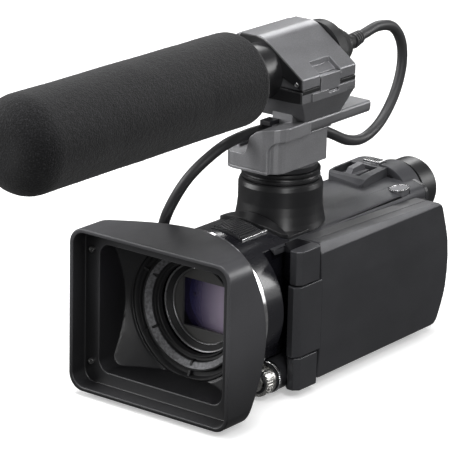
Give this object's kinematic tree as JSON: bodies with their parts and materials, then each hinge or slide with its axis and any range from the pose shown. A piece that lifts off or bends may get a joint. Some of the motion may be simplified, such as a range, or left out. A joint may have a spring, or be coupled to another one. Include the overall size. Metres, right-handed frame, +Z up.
{
  "type": "camcorder",
  "caption": "Handheld camcorder with rectangular lens hood, swing-out side screen, pull-out viewfinder, hand belt and shoe-mounted microphone in a foam windscreen.",
  "frame": {"origin": "centre of the tripod socket's mouth, in the plane of the base", "axes": "lens looks along -Y, +Z up, screen on the +X side, hand belt on the -X side"},
  "size_m": [0.0888, 0.2695, 0.1487],
  "materials": {
    "cabinet": "dark grey fine-grained plastic",
    "top_metallic": "dark metallic grey, satin",
    "hood_black": "black grained plastic",
    "gloss_black": "polished black",
    "bright_chrome": "bright",
    "dial_silver": "knurled, satin",
    "steel": "machined",
    "brass_bush": "nickel plated, satin",
    "coated_glass": "purple coated",
    "clear_glass": "clear",
    "rubber_black": "matte",
    "shoe_black": "satin black",
    "holder_grey": "satin grey paint",
    "lid_grey": "light satin grey",
    "foam": "open-cell foam, charcoal",
    "panel_grey": "metallic grey, satin",
    "display_glass": "black glass",
    "board": "solder mask",
    "cable_black": "satin",
    "belt_fabric": "woven",
    "pad_leather": "soft grain",
    "button_grey": "satin",
    "record_red": "satin red",
    "inner_black": "matte black"
  },
  "bodies": {
    "camera": {"base_plate": "cabinet", "tripod_bush": "brass_bush", "right_cabinet": "cabinet", "left_cabinet": "cabinet", "top_cover": "top_metallic", "zoom_plate": "top_metallic", "rear_panel": "cabinet", "lens_housing": "gloss_black", "front_ring": "bright_chrome", "mic_grille": "shoe_black", "trim_strip": "bright_chrome", "lens_barrel": "inner_black", "guide_rods": "steel", "front_lens": "coated_glass", "lens_mask": "inner_black", "sensor_board": "board", "main_board": "board", "lens_hood": "hood_black", "hood_ring": "inner_black", "hood_screws": "steel", "dial_housing": "shoe_black", "hinge_caps": "panel_grey", "hinge_pins": "steel", "grip_belt": "belt_fabric", "grip_pad": "pad_leather", "belt_lugs": "shoe_black", "shoe_skirt": "rubber_black", "shoe_column": "shoe_black", "adaptor_block": "holder_grey", "rail_bar": "holder_grey", "cable_clip": "shoe_black", "holder_shell": "holder_grey", "holder_pin": "steel", "holder_liner": "rubber_black", "microphone": "inner_black", "windscreen": "foam", "mic_cable": "cable_black", "mic_plug": "shoe_black"},
    "screen": {"hinge_barrel": "panel_grey", "screen_cover": "panel_grey", "screen_frame": "cabinet", "screen_display": "display_glass"},
    "viewfinder": {"viewfinder_tube": "cabinet", "eyecup": "rubber_black", "eyepiece_lens": "clear_glass"},
    "diopter": {"diopter_lever": "button_grey"},
    "zoom_key": {"zoom_lever": "button_grey"},
    "photo_key": {"photo_button": "bright_chrome"},
    "mode_key": {"mode_button": "button_grey"},
    "record_key": {"record_button": "record_red"},
    "battery_pack": {"battery": "cabinet"},
    "battery_catch": {"battery_latch": "button_grey"},
    "jack_flap": {"jack_cover": "rubber_black"},
    "dial": {"manual_dial": "dial_silver"},
    "dial_key": {"manual_button": "dial_silver"},
    "collar": {"lock_collar": "rubber_black"},
    "lid": {"holder_lid": "lid_grey"},
    "catch": {"lid_latch": "lid_grey"},
    "zoom_cell": {"zoom_group": "inner_black"},
    "focus_cell": {"focus_group": "inner_black"}
  },
  "joints": [
    {"name": "screen_open", "type": "hinge", "parent": "camera", "child": "screen", "pos_m": [0.0305, -0.0295, 0.033], "axis": [0, 0, -1], "range_deg": [0, 90]},
    {"name": "viewfinder_pull", "type": "slide", "parent": "camera", "child": "viewfinder", "axis": [0, 1, 0], "range_m": [0, 0.012]},
    {"name": "diopter_turn", "type": "hinge", "parent": "viewfinder", "child": "diopter", "pos_m": [0.003, 0.0785, 0.056], "axis": [0, 1, 0], "range_deg": [-20, 20]},
    {"name": "zoom_rock", "type": "slide", "parent": "camera", "child": "zoom_key", "axis": [1, 0, 0], "range_m": [-0.0025, 0.0025], "stiffness_N_per_m": 200},
    {"name": "photo_press", "type": "slide", "parent": "camera", "child": "photo_key", "axis": [0, 0, -1], "range_m": [0, 0.0008], "stiffness_N_per_m": 300},
    {"name": "mode_press", "type": "slide", "parent": "camera", "child": "mode_key", "axis": [0, 0, -1], "range_m": [0, 0.0008], "stiffness_N_per_m": 300},
    {"name": "record_press", "type": "slide", "parent": "camera", "child": "record_key", "axis": [0, -1, 0], "range_m": [0, 0.001], "stiffness_N_per_m": 300},
    {"name": "battery_pull", "type": "slide", "parent": "camera", "child": "battery_pack", "axis": [0, 1, 0], "range_m": [0, 0.015]},
    {"name": "latch_slide", "type": "slide", "parent": "camera", "child": "battery_catch", "axis": [1, 0, 0], "range_m": [0, 0.004], "stiffness_N_per_m": 150},
    {"name": "jack_open", "type": "hinge", "parent": "camera", "child": "jack_flap", "pos_m": [-0.0293, 0.075, 0.02], "axis": [0, 0, 1], "range_deg": [0, 110]},
    {"name": "dial_turn", "type": "hinge", "parent": "camera", "child": "dial", "pos_m": [0.023, -0.045, 0.0083], "axis": [0, 1, 0], "continuous": true},
    {"name": "dial_press", "type": "slide", "parent": "camera", "child": "dial_key", "axis": [0, 1, 0], "range_m": [0, 0.0008], "stiffness_N_per_m": 300},
    {"name": "collar_turn", "type": "hinge", "parent": "camera", "child": "collar", "pos_m": [0, -0.005, 0.083], "axis": [0, 0, 1], "range_deg": [0, 45]},
    {"name": "lid_open", "type": "hinge", "parent": "camera", "child": "lid", "pos_m": [-0.0122, -0.002, 0.1409], "axis": [0, -1, 0], "range_deg": [0, 80]},
    {"name": "catch_open", "type": "hinge", "parent": "lid", "child": "catch", "pos_m": [0.0205, -0.002, 0.1273], "axis": [0, -1, 0], "range_deg": [0, 35], "stiffness_Nm_per_rad": 0.01},
    {"name": "zoom_travel", "type": "slide", "parent": "camera", "child": "zoom_cell", "axis": [0, 1, 0], "range_m": [0, 0.012]},
    {"name": "focus_travel", "type": "slide", "parent": "camera", "child": "focus_cell", "axis": [0, 1, 0], "range_m": [0, 0.005]}
  ]
}
